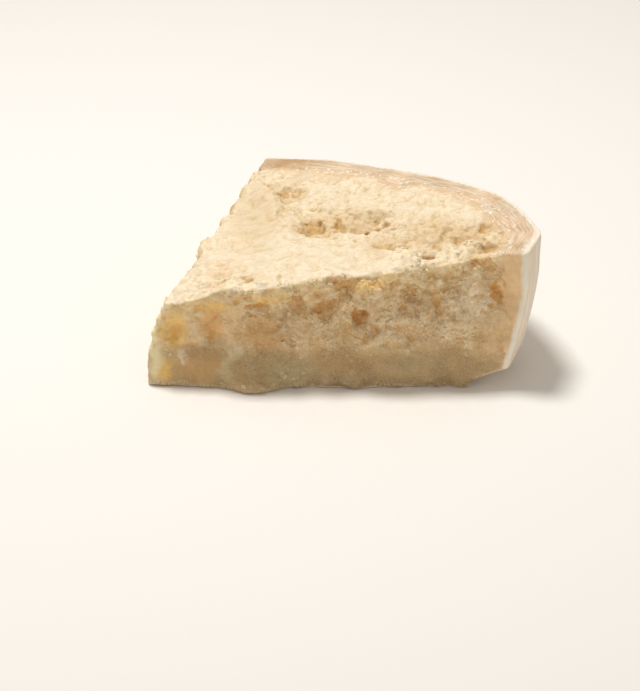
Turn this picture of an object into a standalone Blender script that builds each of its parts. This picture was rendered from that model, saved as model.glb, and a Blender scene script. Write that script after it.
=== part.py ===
# A chunk of parmesan: a wedge split from a large wheel, lying on the wheel's flat rind.
# The front, the left side and the top are broken faces. The curved end is the wheel's barrel side.
# Metres, +Z up. u runs along the front face from the tip to the rind, v runs back from the front
# face and z runs up from the surface that the chunk lies on. At the end the chunk is moved so that
# the middle of its box is over the origin.

import math

import bmesh
import bpy
import numpy as np
from mathutils import Vector, noise

# The wheel and the wedge cut from it
WHEEL_RADIUS = 0.2125
WHEEL_CENTRE = (0.0056, 0.0)
WEDGE_ANGLE = math.radians(75.5)
FLAT_ANGLE = math.radians(50)      # the stretch where the wheel is less than round
FLAT_HALF_SPAN = math.radians(26)
FLAT_DEPTH = 0.0105

# The rind's barrel profile, its broken lower rim and the trimmed corner beside the front face
BARREL_HEIGHT = 0.060
BARREL_INSET = 0.0125
BARREL_POWER = 1.45
RIM_HEIGHT = 0.0115
RIM_REACH = 0.0180
CORNER_U = 0.2075
CORNER_ANGLE = math.radians(72)

# The broken top, which rises from the tip to the rind
TIP_HEIGHT = 0.0466
TOP_RISE = 0.171
TOP_FALL_BACK = 0.026
CROWN_HEIGHT = 0.0085
CROWN_START = 0.15                 # as a share of the wheel's radius

# The tip, which is blunt and leans back
TIP_U = 0.0106
LEAN_START = 0.022
LEAN_SLOPE = 0.36
NOSE_TURN = 0.0034
NOSE_LENGTH = 0.030
NOSE_CUT = 0.0015

# The smooth bands that the knife leaves beside the rind, in width from the rind
TOP_BAND = 0.019
SIDE_BAND = 0.014
LOW_BAND = 0.024
LOW_BAND_EDGE = 0.012
BAND_EDGE = 0.006
BAND_WANDER = 0.008
BAND_WANDER_LENGTH = 0.022
RIND_THICKNESS = 0.003
BREAK_STEP = 0.0011                # the broken face lies this far below the bands

# The grain of the broken faces: how wide and how high each size of lump is
LUMPS = ((0.034, 0.0030), (0.015, 0.0022), (0.007, 0.0012))
BAND_LUMPS = ((0.040, 0.0009), (0.012, 0.0003))
SCALLOP_LENGTH = 0.026             # scallops along the left side
SCALLOP_DEPTH = 0.0030
SCALLOP_BIAS = 0.15                # how far the scallops lean outwards, as a share of their depth

# Where a face counts as level, as the height of its normal
LEVEL_FROM = 0.35
LEVEL_FULL = 0.75
# How far below a side its hollows and lumps still act, and where they act in full
SKIN = 0.010
SKIN_FULL = 0.004
# Starting places in the noise, which fix every lump
BREAK_START = 11.0
BAND_START = 29.0
SCALLOP_START = 41.0

# Mesh sizes
PLAN_CENTRE = (0.110, 0.080)       # the point that the rings shrink to
EDGE_ROW_POWER = 1.3               # brings the rows closer together near the rim
RING_POINTS = 360
SIDE_ROWS = 40
CAP_ROWS = 56
TRIANGLES = 11600
FLAT_BELOW = 0.0007
SHARP_ANGLE = math.radians(40)

# Hollows in the top: u, v, radius along u, radius along v, depth
TOP_HOLLOWS = (
    (0.122, 0.076, 0.017, 0.013, 0.0065),
    (0.1265, 0.077, 0.006, 0.008, 0.0030),
    (0.0905, 0.078, 0.010, 0.011, 0.0045),
    (0.136, 0.067, 0.006, 0.006, 0.0030),
    (0.077, 0.139, 0.008, 0.008, 0.0035),
    (0.080, 0.115, 0.009, 0.007, 0.0025),
    (0.070, 0.100, 0.007, 0.006, 0.0020),
    (0.154, 0.0155, 0.0055, 0.006, 0.0050),
    (0.188, 0.046, 0.006, 0.010, 0.0030),
    (0.175, 0.034, 0.013, 0.007, 0.0035),
    (0.1885, 0.014, 0.008, 0.007, 0.0030),
    (0.052, 0.004, 0.011, 0.008, 0.0040),
    (0.120, 0.000, 0.013, 0.007, 0.0035),
    (0.085, 0.000, 0.010, 0.006, 0.0015),
)
# Lumps that stand up from the top
TOP_LUMPS = (
    (0.105, 0.058, 0.006, 0.008, 0.0018),
    (0.112, 0.030, 0.034, 0.018, 0.0016),
    (0.181, 0.024, 0.006, 0.006, 0.0016),
    (0.198, 0.008, 0.008, 0.006, 0.0014),
    (0.0475, 0.010, 0.009, 0.008, 0.0022),
)
# Hollows in the front face: u, z, radius along u, radius along z, depth
FRONT_HOLLOWS = (
    (0.0830, 0.050, 0.006, 0.008, 0.0050),
    (0.0995, 0.047, 0.007, 0.007, 0.0065),
    (0.1085, 0.058, 0.007, 0.009, 0.0045),
    (0.1180, 0.043, 0.006, 0.006, 0.0045),
    (0.1260, 0.037, 0.004, 0.005, 0.0030),
    (0.1410, 0.055, 0.009, 0.010, 0.0040),
    (0.1440, 0.031, 0.006, 0.006, 0.0030),
    (0.1850, 0.070, 0.011, 0.010, 0.0045),
    (0.1955, 0.056, 0.009, 0.009, 0.0045),
    (0.0340, 0.036, 0.009, 0.012, 0.0040),
    (0.0150, 0.036, 0.007, 0.010, 0.0020),
)
# Lobes that stand out from the front face
FRONT_LOBES = (
    (0.0690, 0.060, 0.014, 0.006, 0.0030),
    (0.1025, 0.060, 0.006, 0.007, 0.0035),
    (0.1240, 0.060, 0.007, 0.010, 0.0030),
    (0.1390, 0.070, 0.012, 0.005, 0.0025),
    (0.1790, 0.064, 0.006, 0.007, 0.0025),
    (0.1640, 0.038, 0.013, 0.007, 0.0025),
    (0.1185, 0.033, 0.006, 0.006, 0.0022),
    (0.0600, 0.003, 0.014, 0.007, 0.0090),
    (0.1150, 0.004, 0.020, 0.005, 0.0020),
)

# Principled settings: colour, roughness
MATERIALS = {
    "broken_cheese": ((0.80, 0.66, 0.42), 0.62),
    "knife_smoothed_cheese": ((0.62, 0.45, 0.25), 0.45),
    "natural_rind": ((0.66, 0.50, 0.34), 0.55),
}


def clear_scene():
    for obj in list(bpy.data.objects):
        bpy.data.objects.remove(obj)


def wheel_radius(angle):
    """The wheel's radius at this angle round its centre, with the stretch that is less than round."""
    across = (angle - FLAT_ANGLE) / FLAT_HALF_SPAN
    flat = FLAT_DEPTH * math.cos(0.5 * math.pi * across) if abs(across) < 1 else 0.0
    return WHEEL_RADIUS - flat


def rind_inset(z):
    """How far the rind stands inside its widest line at this height."""
    below = max(0.0, (BARREL_HEIGHT - z) / BARREL_HEIGHT)
    inset = BARREL_INSET * below ** BARREL_POWER
    if z < RIM_HEIGHT:
        inset += RIM_REACH * (1 - (z / RIM_HEIGHT) ** 2)
    return inset


def left_side(z):
    """Where the left side's line starts on the front face at this height."""
    return LEAN_SLOPE * max(0.0, z - LEAN_START)


def depths(u, v, z):
    """How far inside each side a point lies: front, left side, rind and the blunt nose."""
    front = v - NOSE_TURN * max(0.0, 1 - u / NOSE_LENGTH)
    along = u - left_side(z)
    left = along * math.sin(WEDGE_ANGLE) - v * math.cos(WEDGE_ANGLE)
    angle = math.atan2(v - WHEEL_CENTRE[1], u - WHEEL_CENTRE[0])
    reach = math.hypot(u - WHEEL_CENTRE[0], v - WHEEL_CENTRE[1])
    inset = rind_inset(z)
    barrel = wheel_radius(angle) - inset - reach
    corner = (CORNER_U - inset - u) * math.sin(CORNER_ANGLE) + v * math.cos(CORNER_ANGLE)
    nose_normal = math.pi + 0.5 * WEDGE_ANGLE
    nose = -along * math.cos(nose_normal) - (v - NOSE_TURN) * math.sin(nose_normal) - NOSE_CUT
    return front, left, min(barrel, corner), nose


def outline_point(angle, z):
    """The point where a line from the plan's centre at this angle leaves the wedge at this height."""
    inside = 0.0
    outside = 2 * WHEEL_RADIUS
    for _ in range(24):
        middle = 0.5 * (inside + outside)
        u = PLAN_CENTRE[0] + middle * math.cos(angle)
        v = PLAN_CENTRE[1] + middle * math.sin(angle)
        if min(depths(u, v, z)) > 0:
            inside = middle
        else:
            outside = middle
    return PLAN_CENTRE[0] + inside * math.cos(angle), PLAN_CENTRE[1] + inside * math.sin(angle)


def top_height(u, v):
    """The broken top: a plane that rises to the rind, with a low crown."""
    reach = math.hypot(u - WHEEL_CENTRE[0], v - WHEEL_CENTRE[1]) / WHEEL_RADIUS
    angle = math.atan2(v, max(u - WHEEL_CENTRE[0], 1e-6))
    crown = CROWN_HEIGHT * min(1.0, reach / CROWN_START) * max(0.0, 1 - reach ** 2) ** 0.8
    crown *= 1 - 0.6 * min(1.0, angle / WEDGE_ANGLE)
    return TIP_HEIGHT + TOP_RISE * (u - TIP_U) - TOP_FALL_BACK * v + crown


def wedge_mesh():
    """The plain wedge: rings of points up its sides, and two caps of shrinking rings."""
    angles = [2 * math.pi * i / RING_POINTS for i in range(RING_POINTS)]
    mesh = bmesh.new()
    rings = []
    top_edge = [outline_point(angle, BARREL_HEIGHT) for angle in angles]
    heights = [top_height(u, v) for u, v in top_edge]
    for row in range(SIDE_ROWS + 1):
        share = (row / SIDE_ROWS) ** EDGE_ROW_POWER
        ring = []
        for angle, height in zip(angles, heights):
            z = share * height
            u, v = outline_point(angle, z)
            ring.append(mesh.verts.new((u, v, z)))
        rings.append(ring)
    top = cap_rings(mesh, rings[-1], top_height)
    bottom = cap_rings(mesh, rings[0], flat_height)
    for lower, upper in zip(rings, rings[1:]):
        join_rings(mesh, lower, upper)
    close_cap(mesh, [rings[-1]] + top, top_height, False)
    close_cap(mesh, [rings[0]] + bottom, flat_height, True)
    return mesh


def flat_height(u, v):
    """The wheel's flat rind, which the chunk lies on."""
    return 0.0


def cap_rings(mesh, edge, height):
    rings = []
    for row in range(1, CAP_ROWS):
        share = 1 - row / CAP_ROWS
        ring = []
        for vert in edge:
            u = PLAN_CENTRE[0] + share * (vert.co.x - PLAN_CENTRE[0])
            v = PLAN_CENTRE[1] + share * (vert.co.y - PLAN_CENTRE[1])
            ring.append(mesh.verts.new((u, v, height(u, v))))
        rings.append(ring)
    return rings


def join_rings(mesh, lower, upper):
    for i in range(RING_POINTS):
        j = (i + 1) % RING_POINTS
        mesh.faces.new((lower[i], lower[j], upper[j], upper[i]))


def close_cap(mesh, rings, height, facing_down):
    for outer, inner in zip(rings, rings[1:]):
        if facing_down:
            join_rings(mesh, inner, outer)
        else:
            join_rings(mesh, outer, inner)
    middle = mesh.verts.new((*PLAN_CENTRE, height(*PLAN_CENTRE)))
    last = rings[-1]
    for i in range(RING_POINTS):
        j = (i + 1) % RING_POINTS
        corner = (last[j], last[i]) if facing_down else (last[i], last[j])
        mesh.faces.new((corner[0], corner[1], middle))


def applied(obj):
    """The object's mesh with its modifiers applied, in place of the old one."""
    graph = bpy.context.evaluated_depsgraph_get()
    mesh = bpy.data.meshes.new_from_object(obj.evaluated_get(graph))
    obj.modifiers.clear()
    obj.data = mesh
    return mesh


def ramp(value, low, high):
    share = min(1.0, max(0.0, (value - low) / (high - low)))
    return share * share * (3 - 2 * share)


def lumps(point, sizes, start):
    """Soft lumps of several sizes, as a height."""
    height = 0.0
    for order, (width, rise) in enumerate(sizes):
        shifted = point / width + Vector((start + order * start, 0.3 * start, 0.5 * start))
        height += rise * noise.noise(shifted)
    return height


def mounds(across, along, table):
    """The height that a table of round mounds gives at this place."""
    height = 0.0
    for at_u, at_other, radius_u, radius_other, rise in table:
        reach = ((across - at_u) / radius_u) ** 2 + ((along - at_other) / radius_other) ** 2
        height += rise * math.exp(-reach)
    return height


def weathered(point, normal):
    """Where a point of the plain wedge goes once its face is broken, knife-smoothed or rind."""
    u, v, z = point
    front, left, rind, _ = depths(u, v, z)
    below_top = top_height(u, v) - z
    wander = BAND_WANDER * noise.noise(point / BAND_WANDER_LENGTH)
    level = ramp(abs(normal.z), LEVEL_FROM, LEVEL_FULL)
    top_rough = ramp(rind + wander, TOP_BAND - BAND_EDGE, TOP_BAND) * level * (normal.z > 0)
    side_rough = ramp(rind + wander, SIDE_BAND - BAND_EDGE, SIDE_BAND) * (1 - level)
    side_rough *= ramp(z + wander, LOW_BAND - LOW_BAND_EDGE, LOW_BAND)
    rough = max(top_rough, side_rough)
    broken = lumps(point, LUMPS, BREAK_START) - BREAK_STEP
    smooth = lumps(point, BAND_LUMPS, BAND_START)
    moved = point + normal * (rough * broken + (1 - rough) * smooth)
    top_share = ramp(SKIN - below_top, 0.0, SKIN - SKIN_FULL)
    moved.z -= top_share * mounds(u, v, TOP_HOLLOWS)
    moved.z += top_share * mounds(u, v, TOP_LUMPS)
    front_share = ramp(SKIN - front, 0.0, SKIN - SKIN_FULL)
    moved.y += front_share * mounds(u, z, FRONT_HOLLOWS)
    moved.y -= front_share * mounds(u, z, FRONT_LOBES)
    left_share = ramp(SKIN - left, 0.0, SKIN - SKIN_FULL) * ramp(v, 0.0, 0.5 * SCALLOP_LENGTH)
    scallop = noise.noise(Vector((v / SCALLOP_LENGTH, z / (3 * SCALLOP_LENGTH), SCALLOP_START)))
    moved.x += left_share * SCALLOP_DEPTH * (scallop - SCALLOP_BIAS)
    moved.z = max(0.0, moved.z)
    if z < FLAT_BELOW and normal.z < -LEVEL_FROM:
        moved.z = 0.0
    return moved


def zone_of(centre, normal):
    """The material that a face has: 0 broken, 1 knife-smoothed, 2 rind."""
    _, _, rind, _ = depths(centre.x, centre.y, centre.z)
    level = abs(normal.z) > LEVEL_FULL
    if normal.z < 0 and level and centre.z < RIM_HEIGHT:
        return 2
    if rind < RIND_THICKNESS and not level:
        return 2
    if rind < (TOP_BAND if level else SIDE_BAND):
        return 1
    return 1 if centre.z < LOW_BAND and not level else 0


def plain_material(name, colour, roughness):
    material = bpy.data.materials.new(name)
    material.use_nodes = True
    shader = material.node_tree.nodes["Principled BSDF"]
    shader.inputs["Base Color"].default_value = (*colour, 1.0)
    shader.inputs["Roughness"].default_value = roughness
    shader.inputs["Metallic"].default_value = 0.0
    material.diffuse_color = (*colour, 1.0)
    return material


def parmesan_chunk():
    mesh = bpy.data.meshes.new("parmesan_chunk")
    wedge = wedge_mesh()
    wedge.to_mesh(mesh)
    wedge.free()
    chunk = bpy.data.objects.new("parmesan_chunk", mesh)
    bpy.context.scene.collection.objects.link(chunk)

    moved = [weathered(vert.co.copy(), vert.normal.copy()) for vert in mesh.vertices]
    for vert, place in zip(mesh.vertices, moved):
        vert.co = place

    decimate = chunk.modifiers.new("fewer_faces", "DECIMATE")
    decimate.ratio = TRIANGLES / sum(len(face.vertices) - 2 for face in mesh.polygons)
    mesh = applied(chunk)
    settle(mesh)

    for name, (colour, roughness) in MATERIALS.items():
        mesh.materials.append(plain_material(name, colour, roughness))
    for face in mesh.polygons:
        face.material_index = zone_of(face.center, face.normal)
    centre_box(mesh)
    mesh.shade_smooth()
    mesh.set_sharp_from_angle(angle=SHARP_ANGLE)
    return chunk


def settle(mesh):
    """Lays the lowest points on one plane, so that the chunk rests flat."""
    for vert in mesh.vertices:
        if vert.co.z < FLAT_BELOW:
            vert.co.z = 0.0


def centre_box(mesh):
    places = np.array([vert.co for vert in mesh.vertices])
    low = places.min(axis=0)
    high = places.max(axis=0)
    shift = Vector((-0.5 * (low[0] + high[0]), -0.5 * (low[1] + high[1]), 0.0))
    for vert in mesh.vertices:
        vert.co += shift
    print("sides in metres", np.round(high - low, 4), "box centre at u, v", -np.round(shift[:2], 4))


clear_scene()
parmesan_chunk()
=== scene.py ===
import math

import bmesh
import bpy
import numpy as np
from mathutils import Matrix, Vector, kdtree


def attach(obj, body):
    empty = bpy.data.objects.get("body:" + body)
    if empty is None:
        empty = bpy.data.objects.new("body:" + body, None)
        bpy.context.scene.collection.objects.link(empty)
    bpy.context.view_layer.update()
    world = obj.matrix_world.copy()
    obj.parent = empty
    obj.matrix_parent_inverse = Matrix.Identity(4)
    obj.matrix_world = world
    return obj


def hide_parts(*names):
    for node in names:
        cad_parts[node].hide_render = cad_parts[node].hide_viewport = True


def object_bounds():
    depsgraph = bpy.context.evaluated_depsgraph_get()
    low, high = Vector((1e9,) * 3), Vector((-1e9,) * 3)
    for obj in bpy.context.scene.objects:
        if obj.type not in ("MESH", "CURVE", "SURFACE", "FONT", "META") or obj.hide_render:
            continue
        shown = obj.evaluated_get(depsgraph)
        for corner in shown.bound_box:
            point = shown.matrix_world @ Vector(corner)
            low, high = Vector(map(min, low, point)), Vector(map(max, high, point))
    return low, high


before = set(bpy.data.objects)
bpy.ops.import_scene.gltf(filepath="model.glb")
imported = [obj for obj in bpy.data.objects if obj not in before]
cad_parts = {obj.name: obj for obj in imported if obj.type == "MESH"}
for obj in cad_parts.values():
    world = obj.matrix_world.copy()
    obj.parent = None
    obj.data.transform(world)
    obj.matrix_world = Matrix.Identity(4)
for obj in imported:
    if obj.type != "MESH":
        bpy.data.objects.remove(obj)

cadLow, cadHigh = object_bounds()
scene = bpy.context.scene
mm = 0.001

# Places below are in millimetres: u runs from the tip along the front face, v back from that face, z up
tipOffset = 0.6         # u of the box's left side
frontLumpReach = 9.0    # how far the lump at the foot of the front face stands out of it


def linearColour(hexText):
    channels = [int(hexText[i:i + 2], 16) / 255 for i in (1, 3, 5)]
    return tuple(c / 12.92 if c <= 0.04045 else ((c + 0.055) / 1.055) ** 2.4 for c in channels) + (1.0,)


def ramp(values, low, high):
    share = np.clip((values - low) / (high - low), 0.0, 1.0)
    return share * share * (3 - 2 * share)


def cellHash(cells, seed):
    # one number from 0 to 1 for each whole-number cell, the same every run
    mixed = cells[..., 0] * 73856093 ^ cells[..., 1] * 19349663 ^ cells[..., 2] * 83492791 ^ seed * 2654435
    mixed = (mixed ^ (mixed >> 13)) * 1274126177 & 0xFFFFFFFF
    mixed = (mixed ^ (mixed >> 15)) * 668265263 & 0xFFFFFFFF
    return (mixed ^ (mixed >> 16) & 0xFFFFFF) % 65536 / 65535.0


def softNoise(points, size, seed):
    # smooth hills and dips of this size, from -1 to 1
    scaled = points / size
    base = np.floor(scaled).astype(np.int64)
    part = scaled - base
    part = part * part * (3 - 2 * part)
    total = np.zeros(len(points))
    for corner in np.ndindex(2, 2, 2):
        weight = np.ones(len(points))
        for axis in range(3):
            weight *= part[:, axis] if corner[axis] else 1 - part[:, axis]
        total += weight * cellHash(base + np.array(corner), seed)
    return 2 * total - 1


def bentPlaces(points, size, reach, seed):
    return points + reach * np.stack([softNoise(points, size, seed + axis) for axis in range(3)], axis=1)


def grains(points, size, seed):
    # irregular grains: how far from the middle, how far from the border, a number and the middle of each one
    scaled = points / size
    base = np.floor(scaled).astype(np.int64)
    nearest = np.full(len(points), 9.0)
    second = np.full(len(points), 9.0)
    number = np.zeros(len(points))
    middle = np.zeros(points.shape)
    for step in np.ndindex(3, 3, 3):
        cells = base + np.array(step) - 1
        centre = cells + np.stack([cellHash(cells, seed + 11 * axis) for axis in (1, 2, 3)], axis=1)
        away = np.linalg.norm(centre - scaled, axis=1)
        closer = away < nearest
        second = np.where(closer, nearest, np.minimum(second, away))
        number = np.where(closer, cellHash(cells, seed), number)
        middle = np.where(closer[:, None], centre, middle)
        nearest = np.where(closer, away, nearest)
    return nearest, second - nearest, number, middle * size


def addNode(tree, kind, settings=None, links=None):
    node = tree.nodes.new(kind)
    for name, value in (settings or {}).items():
        if isinstance(name, int) or (name in node.inputs and not hasattr(node, name)):
            node.inputs[name].default_value = value
        else:
            setattr(node, name, value)
    for name, source in (links or {}).items():
        tree.links.new(source, node.inputs[name])
    return node


# Camera, light and floor

viewSettings = {
    "place": (-0.0129, -1.4423, 0.722),   # metres from the middle of the chunk's base
    "pitchDown": 27.344,
    "lens": 144.93,
    "sensor": 36.0,
    "nearest": 0.05,
}
lightSettings = {
    "worldColour": "#FFF7EC",
    "worldStrength": 0.46,
    "keyPlace": (-0.24, 0.10, 1.41),
    "keySize": 0.32,
    "keyPower": 14.6,
    "keyColour": "#FFFCF7",
    "floorColour": "#F2F1EF",
    "floorRoughness": 0.9,
    "floorSide": 12.0,
    "floorGap": 0.2 * mm,
}


def makeCamera():
    data = bpy.data.cameras.new("camera")
    data.sensor_width = viewSettings["sensor"]
    data.lens = viewSettings["lens"]
    data.clip_start = viewSettings["nearest"]
    camera = bpy.data.objects.new("camera", data)
    camera.location = viewSettings["place"]
    camera.rotation_euler = (math.radians(90 - viewSettings["pitchDown"]), 0, 0)
    scene.collection.objects.link(camera)
    scene.camera = camera


def makeLights():
    world = bpy.data.worlds.new("soft room")
    scene.world = world
    world.use_nodes = True
    background = world.node_tree.nodes["Background"]
    background.inputs["Color"].default_value = linearColour(lightSettings["worldColour"])
    background.inputs["Strength"].default_value = lightSettings["worldStrength"]
    data = bpy.data.lights.new("key", "AREA")
    data.shape = "DISK"
    data.size = lightSettings["keySize"]
    data.energy = lightSettings["keyPower"]
    data.color = linearColour(lightSettings["keyColour"])[:3]
    key = bpy.data.objects.new("key", data)
    key.location = lightSettings["keyPlace"]
    key.rotation_euler = (-Vector(lightSettings["keyPlace"])).to_track_quat("-Z", "Y").to_euler()
    scene.collection.objects.link(key)
    scene.view_settings.view_transform = "Standard"


def makeFloor():
    half = lightSettings["floorSide"] / 2
    mesh = bpy.data.meshes.new("floor")
    drop = -lightSettings["floorGap"]
    corners = [(-half, -half, drop), (half, -half, drop), (half, half, drop), (-half, half, drop)]
    mesh.from_pydata(corners, [], [(0, 1, 2, 3)])
    floor = bpy.data.objects.new("floor", mesh)
    scene.collection.objects.link(floor)
    # card with no coating: pale and even, with no shine
    material = bpy.data.materials.new("matt white card")
    material.use_nodes = True
    shader = material.node_tree.nodes["Principled BSDF"]
    shader.inputs["Base Color"].default_value = linearColour(lightSettings["floorColour"])
    shader.inputs["Roughness"].default_value = lightSettings["floorRoughness"]
    mesh.materials.append(material)


makeCamera()
makeLights()
makeFloor()
print("camera, light and floor are in place")


# The chunk's fine surface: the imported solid, broken up again with small faces

chunkMesh = {
    "weld": 0.01 * mm,
    "firstVoxel": 1.05 * mm,
    "smoothFactor": 0.5,
    "smoothRounds": 9,
    "edgeRounds": 80,               # rounds of evening out, which leave only the main form
    "edgeHeight": (0.2, 1.2),       # how far an edge stands out of that form, in millimetres
    "voxel": 0.80 * mm,
    "plainRind": (25.0, 45.0),      # behind this v the rind needs few faces
    "plainFrom": 0.7,
    "plainWeight": 4.0,
    "mostTriangles": 194000,
}


def meshWith(chunk, kind, settings):
    # the chunk's mesh becomes what one modifier makes of it
    modifier = chunk.modifiers.new(kind, kind)
    for name, value in settings.items():
        setattr(modifier, name, value)
    graph = bpy.context.evaluated_depsgraph_get()
    changed = bpy.data.meshes.new_from_object(chunk.evaluated_get(graph))
    chunk.modifiers.clear()
    chunk.data = changed


def smoothChunk(node):
    mesh = node.data.copy()
    work = bmesh.new()
    work.from_mesh(mesh)
    bmesh.ops.remove_doubles(work, verts=work.verts, dist=chunkMesh["weld"])
    work.to_mesh(mesh)
    work.free()
    chunk = bpy.data.objects.new("cheese_chunk", mesh)
    scene.collection.objects.link(chunk)
    meshWith(chunk, "REMESH", {"mode": "VOXEL", "voxel_size": chunkMesh["firstVoxel"]})
    meshWith(chunk, "SMOOTH", {"factor": chunkMesh["smoothFactor"], "iterations": chunkMesh["smoothRounds"]})
    return chunk


def readPoints(mesh):
    places = np.empty(len(mesh.vertices) * 3, np.float32)
    mesh.vertices.foreach_get("co", places)
    normals = np.empty(len(mesh.vertices) * 3, np.float32)
    mesh.vertices.foreach_get("normal", normals)
    return places.reshape(-1, 3).astype(float), normals.reshape(-1, 3).astype(float)


def readEdges(mesh):
    edges = np.empty(len(mesh.edges) * 2, np.int32)
    mesh.edges.foreach_get("vertices", edges)
    return edges.reshape(-1, 2)


def triangleCount(mesh):
    return len(mesh.loops) - 2 * len(mesh.polygons)


def movePoints(mesh, places, normals, relief):
    moved = places + normals * (relief * mm)[:, None]
    moved[:, 2] = np.maximum(moved[:, 2], 0.0)
    mesh.vertices.foreach_set("co", moved.astype(np.float32).ravel())
    mesh.update()
    return moved


def inMillimetres(places):
    corner = np.array([cadLow.x - tipOffset * mm, cadLow.y + frontLumpReach * mm, 0.0])
    return (places - corner) / mm


def nearestIndex(known, places):
    tree = kdtree.KDTree(len(known))
    for index, place in enumerate(known):
        tree.insert(place, index)
    tree.balance()
    return np.array([tree.find(place)[1] for place in places])


def evenedOut(places, edges, rounds):
    count = np.bincount(edges.ravel(), minlength=len(places))[:, None]
    for _ in range(rounds):
        around = [np.bincount(edges[:, 0], places[edges[:, 1], axis], len(places))
                  + np.bincount(edges[:, 1], places[edges[:, 0], axis], len(places)) for axis in range(3)]
        places = 0.5 * (places + np.stack(around, axis=1) / count)
    return places


# Regions of the surface

rindSettings = {
    "wheelMiddleU": 5.6,
    "wheelRadius": 212.5,
    "flatAngle": math.radians(50),
    "flatHalfSpan": math.radians(26),
    "flatDepth": 10.5,
    "cornerU": 207.5,
    "cornerAngle": math.radians(72),
    "barrelHeight": 60.0,
    "barrelInset": 12.5,
    "barrelPower": 1.45,
}
regionSettings = {
    "topBand": 19.0,
    "sideBandZ": (0, 20, 42, 50, 85),       # the knife's band narrows towards the base
    "sideBand": (5, 5, 7, 14, 15),
    "lowBand": 22.0,
    "slabEdgeV": (0, 6, 20, 40, 50, 68, 80, 110, 140, 165, 200),    # the smooth slab ends along this line,
    "slabEdgeU": (157, 150, 136, 118, 101, 84, 76, 68, 68, 58, 50),
    "troughEndV": (0, 20, 45, 55, 75, 90, 110, 140, 160, 200),      # the rough trough behind it along this
    "troughEndU": (215, 215, 198, 178, 152, 128, 102, 88, 72, 50),
    "topEdgeU": (0, 30, 52, 103, 146, 193),     # the front face's top edge
    "topEdgeZ": (44, 51, 59, 69, 75, 81),
}


def rindDepth(p):
    # how far inside the barrel side each point lies, and its angle round the wheel
    across = p[:, 0] - rindSettings["wheelMiddleU"]
    angle = np.arctan2(p[:, 1], across)
    reach = np.hypot(across, p[:, 1])
    share = np.clip((angle - rindSettings["flatAngle"]) / rindSettings["flatHalfSpan"], -1, 1)
    radius = rindSettings["wheelRadius"] - rindSettings["flatDepth"] * np.cos(0.5 * np.pi * share)
    below = np.clip(1 - p[:, 2] / rindSettings["barrelHeight"], 0, 1)
    inset = rindSettings["barrelInset"] * below ** rindSettings["barrelPower"]
    turn = rindSettings["cornerAngle"]
    corner = (rindSettings["cornerU"] - inset - p[:, 0]) * math.sin(turn) + p[:, 1] * math.cos(turn)
    return np.minimum(radius - inset - reach, corner), angle


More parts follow.
